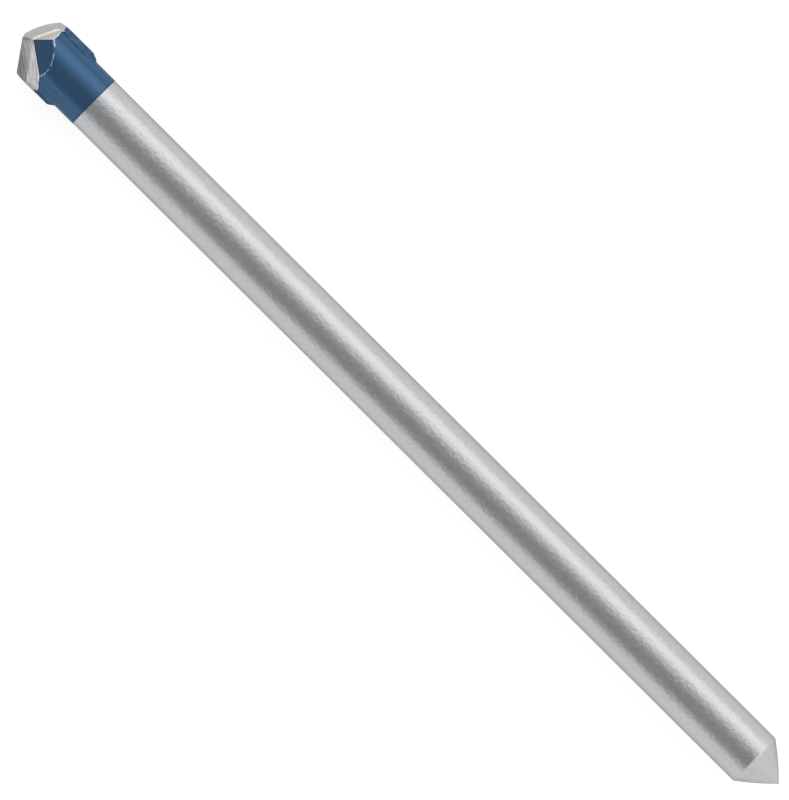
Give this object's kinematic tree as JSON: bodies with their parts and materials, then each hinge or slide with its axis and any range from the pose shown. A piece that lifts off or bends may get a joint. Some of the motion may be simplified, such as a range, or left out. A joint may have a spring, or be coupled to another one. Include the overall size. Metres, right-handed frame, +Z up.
{
  "type": "glass and tile drill bit",
  "caption": "Straight round-shank drill bit with a flat spear-point carbide plate brazed into a lacquered head, for boring glass and ceramic tile.",
  "frame": {"origin": "on the floor under the middle of the bit's length, midway between the two margins of the carbide plate", "axes": "+X runs along the bit's axis towards its point, +Y is across the level carbide plate, and +Z is up"},
  "size_m": [0.0968, 0.0064, 0.0055],
  "materials": {
    "plated_steel": "satin",
    "head_lacquer": "satin",
    "sintered_carbide": "ground",
    "silver_braze": "satin"
  },
  "bodies": {
    "root": {"steel_body": "plated_steel", "carbide_tip": "sintered_carbide", "braze_joint": "silver_braze"}
  },
  "joints": []
}
